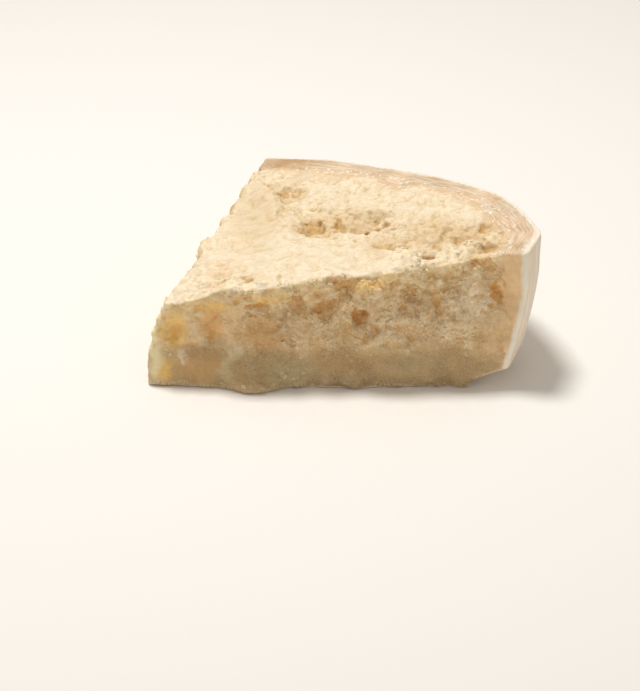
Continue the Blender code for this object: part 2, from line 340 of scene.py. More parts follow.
def findRegions(p, n, edge):
    # how much each point of the smooth chunk belongs to each face and kind of surface
    u, v, z = p.T
    rind, angle = rindDepth(p)
    wander = 3.0 * softNoise(p, 17.0, 5) + 1.4 * softNoise(p, 5.0, 6)
    jagged = wander + 2.6 * (grains(p, 3.0, 7)[2] - 0.5)
    belowEdge = np.interp(u, regionSettings["topEdgeU"], regionSettings["topEdgeZ"]) - z
    up = ramp(n[:, 2], 0.35, 0.75) * (1 - (v < 14) * ramp(belowEdge, 8.0, 14.0))
    base = ramp(-n[:, 2], 0.6, 0.9) * (z < 14)
    facing = ramp(-n[:, 1], 0.3, 0.7) * (1 - up)
    rindShare = np.maximum(ramp(1.6 - rind, -1.0, 1.0) * (1 - up) * (1 - facing), base)
    topBand = ramp(regionSettings["topBand"] - rind + wander + 3.5 * softNoise(p, 2.2, 8), -5.0, 4.0)
    sideWidth = np.interp(z, regionSettings["sideBandZ"], regionSettings["sideBand"])
    teeth = 5.0 * (grains(p, 6.0, 9)[2] - 0.5) * ramp(z, 34.0, 48.0)
    sideBand = ramp(sideWidth - rind + 1.3 * jagged + teeth, -0.8, 0.8)
    band = up * topBand + (1 - up) * sideBand
    lowBand = ramp(regionSettings["lowBand"] - z + 1.5 * wander, -8.0, 6.0) * (1 - up)
    behind = u - np.interp(v, regionSettings["slabEdgeV"], regionSettings["slabEdgeU"]) + 1.6 * jagged
    troughEnd = np.interp(v, regionSettings["troughEndV"], regionSettings["troughEndU"])
    trough = ramp(behind, -0.5, 2.5) * ramp(troughEnd - u + 2.0 * wander, -14.0, 14.0) * up * (1 - band)
    backSlab = ramp(behind, 0.0, 5.0) * (1 - trough) * up * (1 - band)
    slab = up * (1 - trough) * (1 - backSlab) * (1 - band)
    bare = (1 - band) * (1 - rindShare) * (1 - base)
    middlePart = np.where(v < 14, ramp(u, 48.0, 76.0) * (1 - 0.5 * ramp(u, 160.0, 178.0)), 1.0)
    smoothRight = ramp(u, 172.0, 190.0) * ramp(50.0 - z + wander, 0.0, 12.0) * (1 - up) * (v < 30)
    sideRough = (1 - up) * (1 - 0.85 * lowBand) * (0.5 + 0.5 * middlePart) * (1 - 0.7 * smoothRight)
    tip = ramp(62.0 - u, 0.0, 22.0) * (1 - up)
    tipTop = ramp(78.0 - u - 0.5 * v, 0.0, 16.0) * up
    quiet = 0.60 * slab + 0.35 * backSlab + 0.45 * tip + 0.5 * lowBand * ramp(u, 92.0, 118.0)
    quiet += 0.6 * smoothRight * (1 - lowBand)
    crags = 1.3 * trough + 0.4 * backSlab + 0.1 * slab + sideRough + 0.6 * tipTop
    return {
        # painted light: the front is painted lighter and yellower down to about 22 mm below its top edge, as
        # if light glowed through there
        "glow": ramp(22.0 - belowEdge + 2.0 * wander, 0.0, 22.0) * (1 - up) * (1 - rindShare),
        "spill": ramp(5.0 + 1.8 * jagged - belowEdge, -1.5, 1.5) * (1 - up) * (v < 30) * bare * (1 - tip),
        # painted shade: the front is painted darker towards its base
        "foot": ramp(10.0 - z + wander, 0.0, 12.0) * (1 - up) * (1 - rindShare) * ramp(u, 50.0, 90.0),
        "left": ramp(v, 10.0, 40.0) * (1 - up), "frayed": edge * bare * (1 - lowBand),
        "rindDistance": rind, "angle": angle, "up": up, "base": base, "rind": rindShare, "band": band,
        "front": ramp(9.0 - v, 0.0, 5.0) * (1 - ramp(-n[:, 2], 0.6, 0.9)) * (1 - 0.7 * up),
        "lowBand": lowBand, "behindSlab": behind, "trough": trough, "slab": slab, "backSlab": backSlab,
        "crags": np.maximum(crags, 0.9 * edge * (1 - lowBand)) * bare,
        "granules": np.clip(1 - quiet, 0.12, 1.0) * bare,
    }


# Hollows, lobes and cracks where the photo shows them

# each: u, z, half width, half height, depth, how much painted ochre shade it gets
frontHollows = {
    "left hole": (82.6, 51, 3.4, 6.5, 3.6, 0.85),
    "left hole's tail": (85, 44, 1.8, 4.0, 2.2, 0.6),
    "tan dip": (91, 58, 7.0, 5.5, 1.8, 0.4),
    "dark hole": (99, 47.5, 4.4, 6.0, 5.0, 1.0),
    "gap under the lobe": (103.5, 49.0, 4.2, 2.0, 4.5, 1.0),
    "dark grains": (96, 43.5, 3.2, 3.6, 2.6, 0.8),
    "notch": (108, 61.5, 4.6, 5.5, 4.2, 0.75),
    "notch at the edge": (103, 67, 2.0, 2.8, 2.5, 0.7),
    "foot of the notch": (108, 54.5, 2.8, 3.6, 3.4, 0.85),
    "right of the notch": (113, 58, 3.8, 5.4, 2.2, 0.5),
    "second dark hole": (118, 43.5, 3.8, 4.8, 4.6, 1.0),
    "ochre below it": (125.5, 36, 3.4, 4.2, 2.6, 0.6),
    "amber at the edge": (127, 63.5, 3.8, 3.4, 2.0, 0.55),
    "pink hollow": (143, 57.5, 4.4, 4.8, 2.6, 0.5),
    "brown nick": (140, 48, 2.8, 2.2, 2.6, 0.75),
    "olive nick": (137.4, 35, 2.8, 2.2, 2.0, 0.55),
    "olive hollow": (144, 31, 3.8, 6.2, 3.6, 0.7),
    "small olive dip": (104, 31, 2.8, 2.8, 1.8, 0.4),
    "slanting gap": (111, 36, 2.0, 4.6, 2.6, 0.6),
    "little pit": (153, 61.5, 2.2, 2.8, 3.0, 0.85),
    "olive gap": (160.5, 50, 2.6, 5.6, 2.2, 0.5),
    "soft brown dip": (157, 57, 3.4, 2.8, 1.5, 0.4),
    "dip below the lump": (154.7, 68.9, 5.0, 4.0, 1.6, 0.5),
    "long soft dip": (168, 67.5, 7.4, 4.0, 1.4, 0.4),
    "corner hole": (180.4, 75, 5.0, 4.2, 4.0, 0.9),
    "corner cavity": (187, 72, 6.0, 6.0, 4.2, 0.65),
    "left of the corner": (174.6, 68.3, 4.0, 3.4, 2.6, 0.75),
    "red hollow": (193.6, 63, 3.4, 4.4, 3.2, 0.75),
    "deep red hollow": (191.7, 55.7, 4.8, 5.4, 4.2, 0.95),
    "orange hollow": (198, 55, 5.0, 4.6, 3.2, 0.8),
    "orange tail": (189, 47.5, 2.8, 5.0, 2.0, 0.5),
    "scar": (202.7, 48.5, 1.8, 5.4, 1.2, 0.4),
    "tip's upper hollow": (30, 47, 3.8, 3.6, 2.2, 0.6),
    "tip's brown hollow": (34.5, 43, 5.6, 5.0, 2.6, 0.7),
    "tip's middle hollow": (32, 36, 3.8, 3.4, 2.2, 0.7),
    "orange pit": (36.5, 30, 3.4, 4.2, 3.4, 1.0),
    "amber groove": (15.6, 30, 3.2, 7.0, 1.8, 0.5),
    "crumb hollow": (52.4, 56, 6.0, 3.4, 2.8, 0.9),
    "gap under the crumbs": (60, 51, 5.0, 3.4, 3.4, 1.0),
    "upright line": (50.5, 33, 1.6, 5.6, 1.2, 0.4),
    "speckled dip": (60.3, 38.5, 2.8, 6.5, 1.2, 0.35),
}
# each: u, z, half width, half height, height, how pale it is
frontLobes = {
    "overhanging lobe": (98, 62, 7.0, 5.5, 2.6, 0.5),
    "overhanging lobe's foot": (102.6, 54, 3.8, 3.8, 3.4, 0.5),
    "white lobe": (124, 56, 3.8, 6.2, 2.4, 0.9),
    "greenish lobe": (140, 26.5, 4.4, 5.6, 2.4, 0.7),
    "white lump": (146, 72.5, 4.8, 3.6, 2.8, 1.0),
    "pale knob": (130.4, 31.4, 4.0, 4.8, 1.6, 0.5),
    "pale swelling": (99, 35.7, 5.2, 5.4, 1.3, 0.45),
    "knob between the holes": (109, 44, 3.8, 3.4, 1.8, 0.4),
    "left crumbs": (82.6, 41.8, 2.0, 4.0, 1.8, 0.8),
    "small white knob": (136.6, 58, 2.2, 2.2, 1.2, 0.6),
    "white scale": (135, 43, 2.8, 3.4, 1.2, 0.5),
    "plateau": (166, 36, 7.8, 7.0, 2.8, 0.6),
    "grey lobe": (180, 66, 5.0, 6.2, 3.0, 0.8),
    "white patch": (167.4, 52.7, 3.4, 3.4, 1.0, 0.8),
    "pale lower right": (177, 40.6, 7.0, 6.5, 0.6, 0.4),
    "corner lump": (193, 79, 5.6, 3.4, 1.8, 0.8),
    "tip's crystals": (28.4, 43.6, 2.6, 2.6, 1.6, 1.0),
    "tip's white lobe": (19.8, 19.2, 3.0, 3.4, 1.0, 0.8),
    "tip's pale lobe": (49.8, 21, 4.4, 4.2, 1.4, 0.55),
    "tip's grey patch": (44.7, 12, 4.0, 5.5, 0.6, 0.35),
    "tip's lobe": (25, 33.3, 3.0, 5.4, 1.6, 0.3),
    "tip's broad lobe": (28.7, 27.8, 5.0, 5.4, 1.8, 0.25),
    "tip's rim": (10.6, 44.8, 2.8, 5.4, 1.0, 0.5),
    "low pale patch": (79, 11, 5.0, 5.5, 0.5, 0.0),
    "low grey ridge": (84.6, 4, 5.0, 3.0, 0.9, 0.2),
    "low right ridge": (101, 3.4, 6.0, 3.0, 0.9, 0.2),
    "crumbs over the gap": (56, 53.5, 3.4, 2.4, 1.6, 1.0),
    "loose crystal": (60.4, 44.6, 1.8, 1.6, 1.2, 1.0),
    "white crumbs at the fold": (48, 57, 4.0, 2.2, 1.4, 1.0),
    "speck": (113, 16.3, 0.9, 0.9, 0.4, 0.9),
    "speck beside it": (117.6, 16.3, 0.9, 0.9, 0.4, 0.9),
    "third speck": (122.6, 16.3, 1.1, 1.1, 0.5, 0.9),
}
# each: u, v, half width, half length, depth, how much painted ochre shade it gets
topHollows = {
    "back pit": (75, 143, 3.4, 5.4, 2.4, 0.7),
    "back pit's tail": (74.7, 132, 2.6, 6.5, 1.8, 0.5),
    "back pit's neighbour": (81, 142, 2.6, 4.0, 1.6, 0.5),
    "olive pit": (80.6, 113, 3.6, 5.4, 2.0, 0.5),
    "second olive pit": (90, 109, 2.6, 5.0, 1.8, 0.5),
    "faint pit": (70, 102, 2.4, 4.6, 1.0, 0.3),
    "left hollow": (90, 86, 5.4, 9.0, 2.6, 0.5),
    "left hollow's floor": (88.3, 78.6, 2.4, 5.0, 1.8, 0.7),
    "small gap": (103.6, 97, 3.0, 3.4, 2.0, 0.5),
    "bright ochre pit": (106.3, 83.5, 2.4, 5.0, 3.0, 1.0),
    "main hollow": (115, 72, 8.4, 10.0, 3.2, 0.35),
    "main hollow's left": (112.4, 68.7, 2.8, 6.0, 1.6, 0.5),
    "main hollow's floor": (121, 74.7, 3.2, 4.6, 1.6, 0.55),
    "main hollow's right wall": (126.5, 74, 3.0, 12.0, 3.6, 0.9),
    "right pit": (134, 65, 3.8, 6.0, 3.2, 0.9),
    "pink hollow": (104, 60, 3.4, 6.0, 2.2, 0.5),
    "nick in the slab": (115, 45, 2.8, 3.2, 1.2, 0.3),
    "olive hollow": (135.5, 29, 4.6, 8.5, 2.2, 0.55),
    "olive hollow's left": (128.4, 31.5, 7.0, 6.0, 1.0, 0.3),
    "round pit": (153.5, 15, 3.6, 6.2, 4.6, 1.0),
    "ochre run": (172, 32.4, 3.8, 4.6, 2.4, 0.7),
    "ochre run's right": (180, 30.3, 5.0, 4.6, 2.4, 0.7),
    "ochre by the band": (186, 49, 3.4, 6.0, 2.0, 0.7),
    "ochre below it": (188.8, 38, 3.0, 4.8, 2.2, 0.7),
    "corner ochre": (187.5, 14.5, 5.0, 5.6, 2.4, 0.75),
    "long dip": (156, 47, 6.2, 3.4, 1.2, 0.35),
    "dip by the pit": (161, 21.4, 3.8, 5.6, 1.4, 0.4),
    "gap behind the tip's lump": (57, 11, 3.6, 7.0, 2.6, 1.0),
    "gap left of it": (41, 14, 2.8, 6.5, 1.8, 0.6),
    "nick by the edge": (72, 9, 3.0, 4.0, 1.4, 0.6),
}
# each: u, v, half width, half length, height, how pale it is
topLobes = {
    "crystal in the left hollow": (91.7, 77, 2.0, 4.2, 1.8, 1.0),
    "pale ridge": (132.5, 92, 5.0, 6.4, 1.4, 0.7),
    "white ledge": (140.5, 13.4, 7.0, 8.4, 1.6, 1.0),
    "ledge's right end": (152, 5, 6.0, 4.6, 1.4, 1.0),
    "corner crumbs": (181, 18.8, 3.8, 7.0, 2.0, 1.0),
    "edge crumbs": (174.8, 9.4, 3.2, 5.6, 1.6, 0.9),
    "pale lump by the band": (189.8, 26.5, 3.8, 7.0, 2.2, 0.7),
    "white lump by the tip": (48, 6, 4.4, 8.0, 1.8, 1.0),
    "white crumbs at the edge": (64.4, 2, 2.4, 4.5, 1.4, 0.9),
    "bright edge": (76.8, 3, 8.0, 5.7, 0.8, 0.8),
}
# colour only, each: u, z, half width, half height, how strong
frontTints = {
    "rim": ((4, 25, 4.5, 26, 1.0),),
    "amber": ((15, 34, 7, 13, 1.0), (9, 9, 6, 8, 0.9), (38, 48, 9, 4, 0.9), (69, 55, 11, 4, 0.8),
              (124.7, 64, 15, 5, 0.6), (90, 62, 4, 3, 0.4)),
    "orange": ((35, 38, 7, 9, 1.0), (196, 56, 7, 8, 0.9), (180, 74, 6, 5, 0.6), (99, 48, 7, 6, 0.4)),
    "pink": ((44, 38, 6, 8, 0.9), (22, 22, 12, 5, 0.4), (58, 44, 8, 6, 0.5), (196, 28, 12, 16, 0.8),
             (186, 66, 12, 12, 0.5)),
    "grey": ((45, 11, 5, 6, 1.0), (50, 21, 5, 5, 0.9), (80, 9, 15, 8, 1.0), (145, 18, 22, 8, 0.4)),
    "tan": ((30, 13, 16, 9, 1.0), (66, 32, 14, 11, 1.0), (108, 16, 18, 7, 0.6)),
    "whitish": ((176, 50, 13, 13, 0.8), (19.8, 19.2, 4, 3.5, 0.7), (140, 40, 22, 9, 0.4)),
}
# colour only, each: u, v, half width, half length, how strong
topTints = {
    "pink": ((46, 75, 7, 26, 0.45), (45, 33, 10, 18, 0.6), (40, 6, 7, 18, 0.6)),
    "topTan": ((104, 82, 32, 18, 0.8), (170, 38, 30, 18, 1.0), (184, 20, 12, 16, 0.9), (80, 138, 11, 12, 0.7),
               (134, 33, 18, 16, 0.8), (150, 60, 22, 14, 0.7), (62, 112, 18, 60, 0.55),
               (72, 166, 14, 18, 0.5), (100, 154, 24, 8, 0.5)),
    "lens": ((84, 188, 26, 10, 1.0), (112, 183, 28, 10, 1.0), (142, 172, 20, 8, 0.6)),
    "whitish": ((69, 167, 10, 10, 1.0), (100, 152, 22, 6, 0.6), (140, 12, 14, 9, 0.9), (80, 4, 20, 6, 0.6)),
}
# each: start and end, half width, depth
topCracks = {
    "back left crack": ((58.5, 166.8), (69.2, 148.8), 0.8, 1.1),
    "hairline": ((83.5, 149.0), (88.0, 147.5), 0.6, 0.6),
}
frontCracks = {
    "short crack": ((75.6, 15.5), (79.4, 19.2), 0.8, 1.3),
    "lower crack": ((80.9, 4.4), (89.0, 8.7), 1.0, 1.7),
    "left crack": ((72.0, 8.5), (77.0, 10.5), 0.7, 1.0),
    "crack by the crumbs": ((56.0, 45.5), (63.0, 43.0), 0.9, 1.3),
}


breakSettings = {
    "wholeGrain": 3.0,                  # millimetres
    "smallGrain": 1.7,
    "tintGrain": 3.6,
    "featureShares": (0.4, 0.3, 0.3),   # of the whole grains, the small ones and the plain ovals
    "tintShares": (0.35, 0.65),         # of the plain ovals and the whole grains
    "softTints": ("lens", "rim"),
}


def ovalReach(a, b, oval):
    return np.hypot((a - oval[0]) / oval[2], (b - oval[1]) / oval[3])


def crackShare(a, b, crack):
    (startA, startB), (endA, endB), half = crack[:3]
    alongA, alongB = endA - startA, endB - startB
    share = np.clip(((a - startA) * alongA + (b - startB) * alongB) / (alongA ** 2 + alongB ** 2), 0, 1)
    return 1 - ramp(np.hypot(a - startA - share * alongA, b - startB - share * alongB) / half, 0.3, 1.3)


def placedFeatures(p, region):
    # the relief and the tints of all the named places
    bent = bentPlaces(bentPlaces(p, 6.5, 3.0, 401), 2.8, 1.7, 411)
    wobble = 0.35 * softNoise(p, 3.4, 41)
    lift = np.zeros(len(p))
    ochre = np.zeros(len(p))
    pale = np.zeros(len(p))
    broken = 1 - region["band"]
    for face, axis, hollows, lobes, cracks, deeper, higher in (
            (region["front"], 2, frontHollows, frontLobes, frontCracks, 0.75, 1.4),
            (region["up"], 1, topHollows, topLobes, topCracks, 1.3, 1.1)):
        for oval in hollows.values():
            away = ovalReach(bent[:, 0], bent[:, axis], oval) + wobble
            lift = np.minimum(lift, -deeper * oval[4] * (1 - ramp(away, 0.3, 1.25)) * face * broken)
            # painted shade: each hollow is painted ochre towards its middle
            ochre = np.maximum(ochre, oval[5] * (1 - ramp(away, -0.1, 1.25)) * face * broken)
        for oval in lobes.values():
            away = ovalReach(bent[:, 0], bent[:, axis], oval) + wobble
            share = (1 - ramp(away, 0.5, 1.2)) * face
            lift += higher * oval[4] * share * broken
            pale = np.maximum(pale, oval[5] * share)
            ochre *= 1 - share
        for crack in cracks.values():
            share = crackShare(p[:, 0], p[:, axis], crack) * face
            lift -= 1.5 * crack[3] * share
            # painted shade along each crack
            ochre = np.maximum(ochre, 0.3 * share)
    return np.stack([lift, ochre, pale])


def brokenFeatures(p, region):
    # the same, but whole grains are in or out, so that outlines are jagged as a break is
    whole = placedFeatures(grains(p, breakSettings["wholeGrain"], 301)[3], region)
    small = placedFeatures(grains(p, breakSettings["smallGrain"], 331)[3], region)
    plain = placedFeatures(p, region)
    wholeShare, smallShare, plainShare = breakSettings["featureShares"]
    return wholeShare * whole + smallShare * small + plainShare * plain


def tintShares(p, region):
    bent = bentPlaces(bentPlaces(p, 8.0, 3.0, 421), 2.5, 1.0, 431)
    shares = {}
    for face, axis, tints in ((region["front"], 2, frontTints), (region["up"], 1, topTints)):
        for name, ovals in tints.items():
            share = shares.get(name, np.zeros(len(p)))
            for oval in ovals:
                away = ovalReach(bent[:, 0], bent[:, axis], oval)
                share = np.maximum(share, oval[4] * (1 - ramp(away, 0.35, 1.35)) * face)
            shares[name] = share * (1 - region["rind"])
    return shares


def brokenTints(p, region):
    # the tints break along whole grains too, apart from the two soft ones
    plain = tintShares(p, region)
    whole = tintShares(grains(p, breakSettings["tintGrain"], 351)[3], region)
    plainShare, wholeShare = breakSettings["tintShares"]
    mixed = {name: plainShare * plain[name] + wholeShare * whole[name] for name in plain}
    mixed.update({name: plain[name] for name in breakSettings["softTints"]})
    return mixed


# Relief

reliefSettings = {
    "crags": (12.0, 3.9),         # grain size and height, in millimetres
    "clumps": (5.5, 2.6),
    "granules": (2.8, 0.75),
    "grit": (1.4, 0.18),
    "ledge": 1.6,
    "spill": 0.8,
    "fray": 1.6,
    "trough": 1.8,
}


def grainRelief(p, size, height, seed):
    away, border, number, _ = grains(p, size, seed)
    step = (number - 0.5) * ramp(border, 0.0, 0.28)
    dome = 0.45 - away ** 2
    return height * (step + 0.8 * dome)


def coarseRelief(p, region):
    bent = bentPlaces(p, 7.0, 2.4, 31)
    crags = grainRelief(bent * np.array([1.0, 1.0, 0.9]), *reliefSettings["crags"], 101)
    clumps = grainRelief(bent, *reliefSettings["clumps"], 131)
    amount = 0.75 + 0.4 * softNoise(p, 21.0, 61)
    relief = region["crags"] * amount * (crags + clumps)
    ledge = np.exp(-((region["behindSlab"] + 1.0) / 3.5) ** 2) * region["up"] * (1 - region["band"])
    relief += reliefSettings["ledge"] * ledge * (0.5 + 0.5 * softNoise(p, 9.0, 62))
    relief += reliefSettings["spill"] * region["spill"]
    fray = 0.6 + 0.9 * softNoise(p, 6.0, 69) + 0.5 * softNoise(p, 2.6, 70)
    relief -= reliefSettings["fray"] * region["frayed"] * fray
    relief -= reliefSettings["trough"] * region["trough"]
    waves = 0.8 * softNoise(p, 16.0, 63) + 0.5 * softNoise(p, 7.0, 64)
    relief += (region["slab"] + region["backSlab"]) * waves
    smoothSide = (1 - region["up"]) * (1 - np.clip(region["crags"], 0, 1)) * (1 - region["rind"])
    relief += smoothSide * (0.6 * softNoise(p, 9.0, 65) + 0.3 * softNoise(p, 4.0, 67))
    rim = ramp(13.0 - p[:, 2], 0.0, 9.0) * (1 - region["up"]) * (0.25 + 0.75 * ramp(p[:, 0], 50.0, 70.0))
    relief += rim * (1.8 * softNoise(p, 5.5, 66) + 0.5 * softNoise(p, 2.6, 68) - 0.6)
    return relief * (1 - region["base"])


def fineRelief(p, region):
    bent = bentPlaces(p, 3.0, 0.9, 36)
    granules = grainRelief(bent, *reliefSettings["granules"], 171)
    grit = grainRelief(bent, *reliefSettings["grit"], 191)
    relief = region["granules"] * (granules + grit) + 0.05 * region["band"] * softNoise(p, 2.2, 71)
    relief += 0.10 * region["rind"] * softNoise(p * np.array([1, 1, 0.12]), 2.0, 72)
    return relief * (1 - region["base"])


def storeTints(mesh, tints, along):
    for name, values in tints.items():
        layer = mesh.attributes.new(name, "FLOAT", "POINT")
        layer.data.foreach_set("value", values.astype(np.float32))
    layer = mesh.attributes.new("along", "FLOAT_VECTOR", "POINT")
    layer.data.foreach_set("vector", along.astype(np.float32).ravel())


def surfaceTints(mesh, region, ochre, pale, shares):
    # what the material reads: a share from 0 to 1 for each kind of surface
    places, normals = readPoints(mesh)
    edges = readEdges(mesh)
    near = evenedOut(places, edges, 3)
    wide = evenedOut(near, edges, 26)
    # painted shade: pore and gap are how far each point lies below the evened-out surface around it, so
    # recesses can be painted ochre as shade and the warm light sunk into them
    pore = np.einsum("ij,ij->i", near - places, normals) / mm
    gap = np.einsum("ij,ij->i", wide - places, normals) / mm
    up, rind = region["up"], region["rind"]
    openSide = (1 - up) * (1 - 0.8 * region["lowBand"])
    tints = {
        "side": 1 - up, "band": region["band"], "bandTop": region["band"] * up, "rind": rind,
        "rindEdge": (1 - ramp(region["rindDistance"], 2.0, 4.4)) * (1 - rind),
        "speckled": region["band"] * up * ramp(region["rindDistance"], 7.0, 15.0),
        # painted shade: the low part of the front is painted darker olive
        "lowBand": region["lowBand"] * (1 - rind) * (1 - 0.6 * region["left"]),
        "glow": region["glow"] * (1 - rind),
        "granular": region["granules"] * (1 - 0.6 * up), "pale": pale, "spill": region["spill"],
        "flaky": region["crags"] * (1 - up), "foot": region["foot"],
        # painted shade: ochre in the named hollows and cracks, brown where they are deepest
        "ochre": ochre * (1 - up), "deep": ramp(ochre, 0.45, 0.85) * (1 - up),
        "ochreTop": np.minimum(1.5 * ochre, 1.0) * up,
        # painted shade in recesses, on the sides and on the top
        "gap": ramp(gap, 0.1, 1.7) * openSide, "gapTop": ramp(gap, -0.1, 1.1) * up,
        "pore": ramp(pore, 0.02, 0.3) * openSide, "poreTop": ramp(pore, 0.0, 0.25) * up,
        # painted highlight: raised spots, standing out of the evened-out surface, are painted paler
        "ridge": ramp(-gap, 0.2, 1.4),
    }
    tints.update(shares)
    arc = region["angle"] * rindSettings["wheelRadius"]
    return tints, np.stack([region["rindDistance"], arc, places[:, 2] / mm], axis=1) * mm


def breakUp(chunk):
    places, normals = readPoints(chunk.data)
    p = inMillimetres(places)
    wide = evenedOut(places, readEdges(chunk.data), chunkMesh["edgeRounds"])
    edge = ramp(np.einsum("ij,ij->i", places - wide, normals) / mm, *chunkMesh["edgeHeight"])
    region = findRegions(p, normals, edge)
    lift, ochre, pale = brokenFeatures(p, region)
    shares = brokenTints(p, region)
    coarse = lift + coarseRelief(p, region) * (1 - 0.4 * np.maximum(ochre, pale))
    coarsePlaces = movePoints(chunk.data, places, normals, coarse)
    print("coarse relief is in place")
    meshWith(chunk, "REMESH", {"mode": "VOXEL", "voxel_size": chunkMesh["voxel"]})
    source = nearestIndex(coarsePlaces, readPoints(chunk.data)[0])
    plainness = np.maximum(region["base"], region["rind"] * ramp(p[:, 1], *chunkMesh["plainRind"]))
    plain = np.nonzero(plainness[source] > chunkMesh["plainFrom"])[0]
    chunk.vertex_groups.new(name="plain").add(plain.tolist(), 1.0, "REPLACE")
    for group in ("plain", ""):     # the first round is led by the plain faces and can stop short
        share = min(chunkMesh["mostTriangles"] / triangleCount(chunk.data), 1.0)
        meshWith(chunk, "DECIMATE", {"ratio": share, "vertex_group": group,
                                     "vertex_group_factor": chunkMesh["plainWeight"]})
        print("decimated to", triangleCount(chunk.data), "triangles")
    places, normals = readPoints(chunk.data)
    source = nearestIndex(coarsePlaces, places)
    region = {name: values[source] for name, values in region.items()}
    shares = {name: values[source] for name, values in shares.items()}
    movePoints(chunk.data, places, normals, fineRelief(inMillimetres(places), region))
    tints, along = surfaceTints(chunk.data, region, ochre[source], pale[source], shares)
    storeTints(chunk.data, tints, along)
    chunk.data.shade_smooth()
    print("fine relief is in place:", triangleCount(chunk.data), "triangles")
    return tints, along


chunk = smoothChunk(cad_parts["parmesan_chunk"])
chunkTints, chunkAlong = breakUp(chunk)


# Aged hard cheese, split along its grain: pale dry crumb, and ochre painted between the granules and in the
# hollows, as painted shade and the warm light that sinks in there

cheeseColours = {
    "cream": "#E4D4B6",
    # painted shade: the sides' straw is deeper and warmer than the top's cream of the same cheese
    "straw": "#DEBC82",
    # painted light: the lighter yellow under the front's top edge
    "glow": "#FAE4AC",
    # painted shade and warm light in hollows, gaps and pores: the ochre, brown, top hollow and top ochre
    # colours
    "ochre": "#EEB050",
    "brown": "#C07C2A",
    "topHollow": "#C8A868",
    "topOchre": "#BC842C",
    "topTan": "#D8BC90",
    "amber": "#FACC68",
    "orange": "#F0B25E",
    "rim": "#FAEEC0",
    "pale": "#F6E4C0",
    "white": "#FBF3E0",
    "chalky": "#F0DCBC",
    # painted shade: the olive and the dark foot colour darken the front towards its base
    "olive": "#8F774B",
    "foot": "#6E5832",
    "dusky": "#B48A54",
    "grey": "#BEAE86",
    "tan": "#CDA26A",
    "band": "#C4A67E",
    "lens": "#B58C5E",
    "bandSide": "#F6D4A4",
    "pink": "#ECC49C",
    "blush": "#E0C59C",
    "rind": "#FAEBD6",
    "rindLine": "#E4C6A8",
    "rindEdge": "#FDF8EC",
}
patternKinds = {
    "noise": ("ShaderNodeTexNoise", "Fac"),
    "cells": ("ShaderNodeTexVoronoi", "Color"),
    "domes": ("ShaderNodeTexVoronoi", "Distance"),
}
# each: kind, coordinates, size in millimetres each way, detail, and the values that become 0 and 1
cheesePatterns = {
    "patches": ("noise", "object", (14, 14, 14), 3.0, 0.42, 0.62),
    "mottle": ("noise", "object", (4.5, 4.5, 4.5), 3.0, 0.40, 0.64),
    "grain": ("noise", "object", (1.3, 1.3, 1.3), 2.0, 0.40, 0.62),
    "dust": ("noise", "object", (0.7, 0.7, 0.7), 1.0, 0.35, 0.68),
    "flakes": ("cells", "bent", (4.6, 4.6, 6.8), 0.0, 0.45, 0.62),
    "duskyFlakes": ("cells", "bent", (5.4, 5.4, 7.6), 0.0, 0.55, 0.36),
    "cells": ("cells", "bent", (3.4, 3.4, 3.4), 0.0, 0.35, 0.75),
    "smallCells": ("cells", "bent", (1.7, 1.7, 1.7), 0.0, 0.35, 0.80),
    "domes": ("domes", "bent", (1.9, 1.9, 1.9), 0.0, 0.75, 0.10),
    "dots": ("domes", "along", (3.0, 4.2, 4.2), 0.0, 0.36, 0.16),
    "strokes": ("noise", "along", (1.1, 16, 16), 2.0, 0.38, 0.62),    # the knife's scratches, drawn coarser
    "rindLines": ("noise", "along", (9, 3.5, 60), 2.0, 0.40, 0.60),
}
